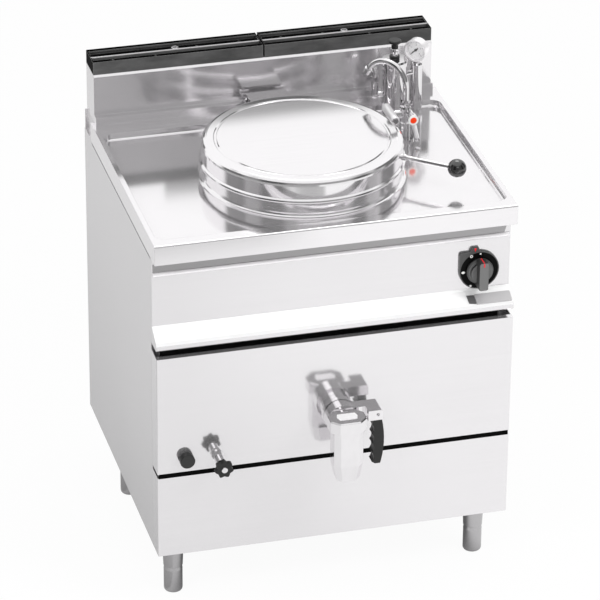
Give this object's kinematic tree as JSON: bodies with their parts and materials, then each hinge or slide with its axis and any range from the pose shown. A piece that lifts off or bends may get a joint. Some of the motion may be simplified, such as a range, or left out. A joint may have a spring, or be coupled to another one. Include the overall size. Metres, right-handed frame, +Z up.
{
  "type": "steam jacketed kettle",
  "caption": "Free-standing gas boiling kettle: hinged round lid on a jacketed vessel in a steel cabinet with worktop, rear flue, fill tap, safety group and front drain tap.",
  "frame": {"origin": "on the floor, under the middle of the bounding box", "axes": "+Z up, +X to the operator's right, +Y from the operator towards the wall"},
  "size_m": [0.8, 0.821, 1.0747],
  "materials": {
    "panel_steel": "brushed stainless",
    "worktop_steel": "finely polished stainless",
    "plain_steel": "mill finish",
    "frame_paint": "black heat-proof paint",
    "flue_black": "black enamel",
    "lagging": "mineral-fibre blanket",
    "seal": "silicone",
    "foot_steel": "satin",
    "chrome": "polished chrome",
    "ball_black": "glossy phenolic",
    "knob_black": "satin moulded plastic",
    "spindle_steel": "turned",
    "valve_metal": "die cast",
    "dial_white": "matt white",
    "needle_black": "matt black",
    "gauge_glass": "clear"
  },
  "bodies": {
    "cabinet": {"side_panel_left": "panel_steel", "side_panel_right": "panel_steel", "rear_panel": "panel_steel", "front_panel_lower": "panel_steel", "front_panel_middle": "panel_steel", "control_panel": "panel_steel", "worktop": "worktop_steel", "chimney": "worktop_steel", "kettle_vessel": "worktop_steel", "hinge_bracket": "worktop_steel", "steam_jacket": "plain_steel", "burner_chamber": "plain_steel", "burner": "plain_steel", "drain_pipe": "plain_steel", "drain_strainer": "plain_steel", "gas_line": "plain_steel", "water_line": "plain_steel", "base_frame": "frame_paint", "flue_grille_left": "flue_black", "flue_grille_right": "flue_black", "jacket_lagging": "lagging", "leg_front_left": "foot_steel", "leg_front_right": "foot_steel", "leg_rear_left": "foot_steel", "leg_rear_right": "foot_steel", "hinge_pin": "chrome", "drain_valve": "chrome", "level_valve": "chrome", "safety_column": "chrome", "gauge_column": "chrome", "gauge_case": "chrome", "vacuum_valve": "chrome", "fill_pillar": "chrome", "knob_bezel": "knob_black", "igniter_base": "knob_black", "gas_valve": "valve_metal", "gauge_dial": "dial_white", "gauge_glass": "gauge_glass"},
    "lid": {"lid_shell": "worktop_steel", "lid_liner": "worktop_steel", "lid_gasket": "seal", "lid_strap": "worktop_steel", "lid_rod": "chrome", "lid_ball": "ball_black"},
    "spindle": {"valve_spindle": "spindle_steel"},
    "knob": {"control_knob": "knob_black"},
    "drain_handle": {"drain_lever": "chrome", "lever_grip": "knob_black"},
    "level_handwheel": {"level_wheel": "knob_black", "level_spindle": "chrome"},
    "igniter": {"igniter_button": "knob_black"},
    "relief_knob": {"safety_knob": "knob_black"},
    "needle": {"gauge_needle": "needle_black"},
    "spout": {"fill_spout": "chrome"},
    "hot_tap": {"hot_handle": "chrome"},
    "cold_tap": {"cold_handle": "chrome"},
    "foot_front_left": {"foot_front_left": "foot_steel"},
    "foot_front_right": {"foot_front_right": "foot_steel"},
    "foot_rear_left": {"foot_rear_left": "foot_steel"},
    "foot_rear_right": {"foot_rear_right": "foot_steel"}
  },
  "joints": [
    {"name": "lid_hinge", "type": "hinge", "parent": "cabinet", "child": "lid", "pos_m": [0, 0.3105, 0.926], "axis": [-1, 0, 0], "range_deg": [0, 70]},
    {"name": "knob_press", "type": "slide", "parent": "cabinet", "child": "spindle", "axis": [0, 1, 0], "range_m": [0, 0.0025], "stiffness_N_per_m": 1200, "springref_m": -0.001},
    {"name": "knob_turn", "type": "hinge", "parent": "spindle", "child": "knob", "pos_m": [0.328, -0.2695, 0.736], "axis": [0, -1, 0], "range_deg": [-30, 150]},
    {"name": "drain_lever_turn", "type": "hinge", "parent": "cabinet", "child": "drain_handle", "pos_m": [0, -0.3335, 0.4585], "axis": [0, -1, 0], "range_deg": [0, 90]},
    {"name": "level_wheel_turn", "type": "hinge", "parent": "cabinet", "child": "level_handwheel", "pos_m": [-0.265, -0.3475, 0.376], "axis": [0, -1, 0], "range_deg": [0, 360]},
    {"name": "igniter_press", "type": "slide", "parent": "cabinet", "child": "igniter", "axis": [0, 1, 0], "range_m": [0, 0.005], "stiffness_N_per_m": 800, "springref_m": -0.001},
    {"name": "relief_lift", "type": "slide", "parent": "cabinet", "child": "relief_knob", "axis": [0, 0, 1], "range_m": [0, 0.006], "stiffness_N_per_m": 600, "springref_m": -0.001},
    {"name": "needle_swing", "type": "hinge", "parent": "cabinet", "child": "needle", "pos_m": [0.32506, 0.24097, 1.039], "axis": [0.6561, 0.7547, 0], "range_deg": [0, 270]},
    {"name": "spout_swivel", "type": "hinge", "parent": "cabinet", "child": "spout", "pos_m": [0.265, 0.1125, 0.96], "axis": [0, 0, 1], "range_deg": [-28, 66]},
    {"name": "hot_tap_turn", "type": "hinge", "parent": "cabinet", "child": "hot_tap", "pos_m": [0.272, 0.0805, 0.949], "axis": [0, -1, 0], "range_deg": [0, 90]},
    {"name": "cold_tap_turn", "type": "hinge", "parent": "cabinet", "child": "cold_tap", "pos_m": [0.237, 0.1125, 0.949], "axis": [-1, 0, 0], "range_deg": [0, 90]},
    {"name": "foot_front_left_screw", "type": "slide", "parent": "cabinet", "child": "foot_front_left", "axis": [0, 0, -1], "range_m": [0, 0.035]},
    {"name": "foot_front_right_screw", "type": "slide", "parent": "cabinet", "child": "foot_front_right", "axis": [0, 0, -1], "range_m": [0, 0.035]},
    {"name": "foot_rear_left_screw", "type": "slide", "parent": "cabinet", "child": "foot_rear_left", "axis": [0, 0, -1], "range_m": [0, 0.035]},
    {"name": "foot_rear_right_screw", "type": "slide", "parent": "cabinet", "child": "foot_rear_right", "axis": [0, 0, -1], "range_m": [0, 0.035]}
  ]
}
